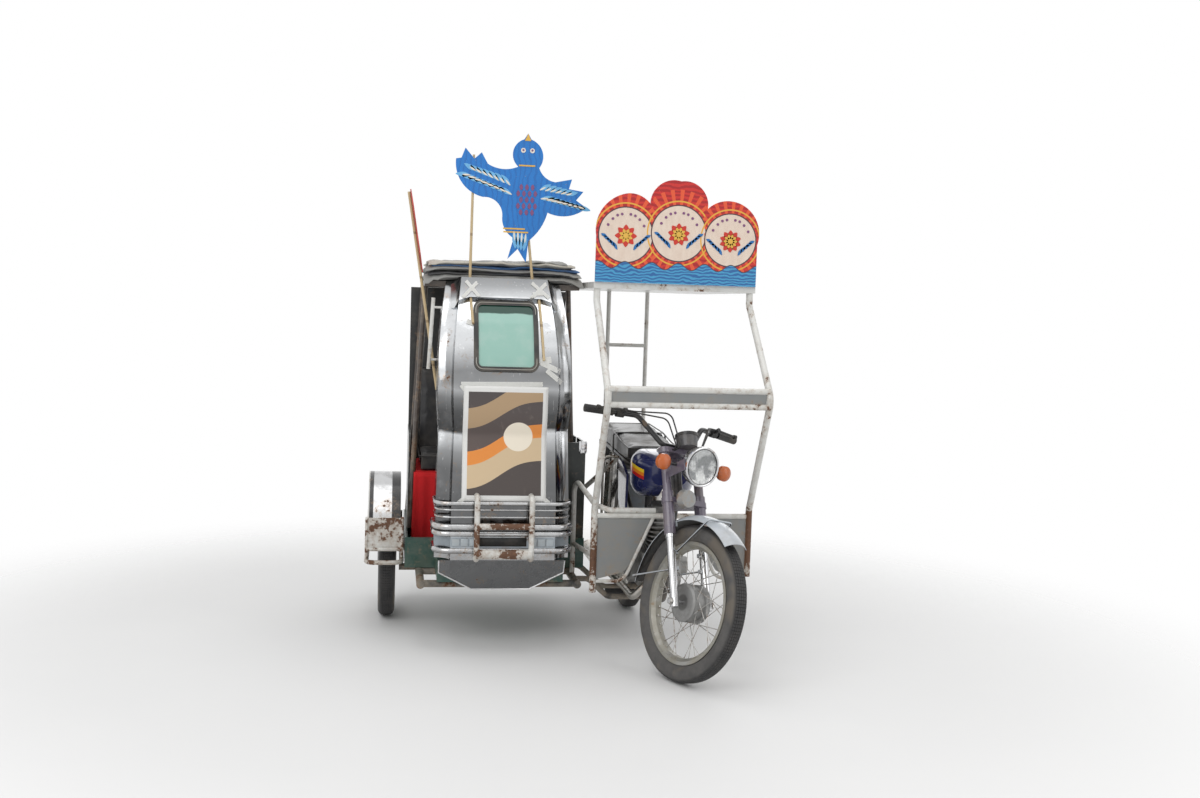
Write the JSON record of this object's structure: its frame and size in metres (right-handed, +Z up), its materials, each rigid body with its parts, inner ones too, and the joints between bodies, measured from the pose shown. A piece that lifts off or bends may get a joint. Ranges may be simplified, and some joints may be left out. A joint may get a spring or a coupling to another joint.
{
  "type": "motor tricycle with passenger sidecar",
  "caption": "Small motorcycle with a roofed rider's canopy and a hooded passenger sidecar on its right, wheels that turn and a fork that steers.",
  "frame": {"origin": "on the floor under the middle of the parked vehicle's box", "axes": "+Z up; the front faces -Y; +X is the rider's left, so the sidecar is on -X"},
  "size_m": [1.605, 1.8807, 2.137],
  "materials": {
    "stainless": "polished stainless sheet, dented",
    "bamboo": "pale bamboo",
    "bench_black": "black vinyl cushion",
    "cutout_blue": "painted board, blue",
    "white_paint": "white paint with rust patches",
    "roof_panel": "grey painted panel",
    "grey_panel": "grey painted sheet",
    "frame_black": "black paint, worn",
    "cable_black": "black cable sheath",
    "engine_alloy": "cast alloy, oily",
    "exhaust_chrome": "heat-stained chrome",
    "fork_shroud_paint": "purple-grey paint",
    "fork_chrome": "polished chrome",
    "hub_alloy": "cast alloy, greasy",
    "guard_silver": "silver blue-grey paint",
    "rim_chrome": "dull chrome with rust specks",
    "tyre": "black rubber, dusty sidewalls",
    "tank_navy": "dark navy with stripes",
    "rail_chrome": "chrome",
    "grip_rubber": "ribbed black rubber",
    "bar_black": "black paint",
    "lamp_glass": "fluted clear glass",
    "lamp_chrome": "polished chrome",
    "horn_metal": "grey",
    "amber_lens": "amber lens",
    "pod_plastic": "dark grey",
    "tub_green": "dark green paint",
    "shock_chrome": "chrome spring, black body",
    "cutout_red": "painted board, red",
    "seat_vinyl": "black vinyl",
    "tarp_canvas": "folded grey canvas",
    "seat_red": "red cloth",
    "cover_navy": "dark navy",
    "chassis_paint": "black paint, rusty",
    "sign_paint": "painted board, red crest, cream field, blue base",
    "red_lens": "red lens",
    "gasket_rubber": "black rubber channel",
    "window_tint": "pale tinted pane with green top band"
  },
  "bodies": {
    "frame": {"back_panel": "stainless", "bamboo_sticks": "bamboo", "bench_back": "bench_black", "bench_cushion": "bench_black", "blue_cutout": "cutout_blue", "bull_bar": "white_paint", "cabin_roof": "roof_panel", "canopy_frame": "white_paint", "canopy_panels": "grey_panel", "canopy_roof": "white_paint", "chain_case": "frame_black", "engine": "engine_alloy", "exhaust": "exhaust_chrome", "foot_pegs": "frame_black", "fuel_tank": "tank_navy", "grab_rail": "rail_chrome", "hood": "stainless", "lower_tub": "tub_green", "moto_frame": "frame_black", "nose": "stainless", "nose_trim": "stainless", "plate_bracket": "frame_black", "rear_mudguard": "guard_silver", "rear_shocks": "shock_chrome", "red_cutout": "cutout_red", "rider_seat": "seat_vinyl", "roof_tarp": "tarp_canvas", "seat_base": "seat_red", "side_covers": "cover_navy", "side_mudguard": "stainless", "side_panels": "tub_green", "sidecar_chassis": "chassis_paint", "sidecar_struts": "white_paint", "sign_board": "sign_paint", "skirt": "stainless", "swing_arm": "frame_black", "tail_lamp": "red_lens", "wheel_rail": "white_paint", "window_gasket": "gasket_rubber", "window_glass": "window_tint"},
    "steering": {"fork_sliders": "fork_chrome", "fork_crown": "fork_shroud_paint", "handlebar": "bar_black", "hand_controls": "grip_rubber", "headlamp_shell": "lamp_chrome", "headlamp_lens": "lamp_glass", "instruments": "pod_plastic", "indicators": "amber_lens", "horn": "horn_metal", "front_mudguard": "guard_silver", "control_cables": "cable_black"},
    "front_wheel": {"front_tyre": "tyre", "front_rim": "rim_chrome", "front_hub": "hub_alloy"},
    "rear_wheel": {"rear_tyre": "tyre", "rear_rim": "rim_chrome", "rear_hub": "hub_alloy"},
    "side_wheel": {"side_tyre": "tyre", "side_rim": "rim_chrome", "side_hub": "hub_alloy"}
  },
  "joints": [
    {"name": "steering", "type": "hinge", "parent": "frame", "child": "steering", "pos_m": [0.43347, -0.62253, 0.28171], "axis": [0, 0.454, 0.891], "range_deg": [-66, 14]},
    {"name": "front_wheel_spin", "type": "hinge", "parent": "steering", "child": "front_wheel", "pos_m": [0.45189, -0.65616, 0.29885], "axis": [0.8988, 0.3906, -0.199], "continuous": true},
    {"name": "rear_wheel_spin", "type": "hinge", "parent": "frame", "child": "rear_wheel", "pos_m": [0.43347, 0.61005, 0.3015], "axis": [1, 0, 0], "continuous": true},
    {"name": "side_wheel_spin", "type": "hinge", "parent": "frame", "child": "side_wheel", "pos_m": [-0.70452, 0.47005, 0.3015], "axis": [1, 0, 0], "continuous": true}
  ]
}
